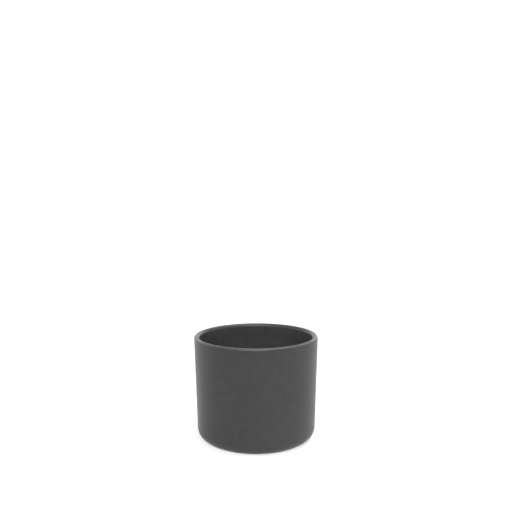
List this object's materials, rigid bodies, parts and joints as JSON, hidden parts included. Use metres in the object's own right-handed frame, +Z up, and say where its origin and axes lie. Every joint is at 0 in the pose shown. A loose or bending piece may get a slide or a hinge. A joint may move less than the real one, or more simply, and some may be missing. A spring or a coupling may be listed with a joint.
{
  "type": "empty candle jar",
  "caption": "Empty round stoneware candle jar with a matte dark-grey glaze, soft lip, slightly tapered wall and bare foot ring.",
  "frame": {"origin": "centre of the foot ring, on the plane the jar stands on", "axes": "+Z up along the jar's axis of revolution, out through the mouth; X and Y are equivalent, because every piece is round"},
  "size_m": [0.09, 0.09, 0.075],
  "materials": {
    "stoneware": "unglazed, fine grain",
    "outer_glaze": "matte satin",
    "liner_glaze": "matte",
    "underside_glaze": "matte"
  },
  "bodies": {
    "root": {"stoneware_body": "stoneware", "outer_glaze": "outer_glaze", "liner_glaze": "liner_glaze", "underside_glaze": "underside_glaze"}
  },
  "joints": []
}
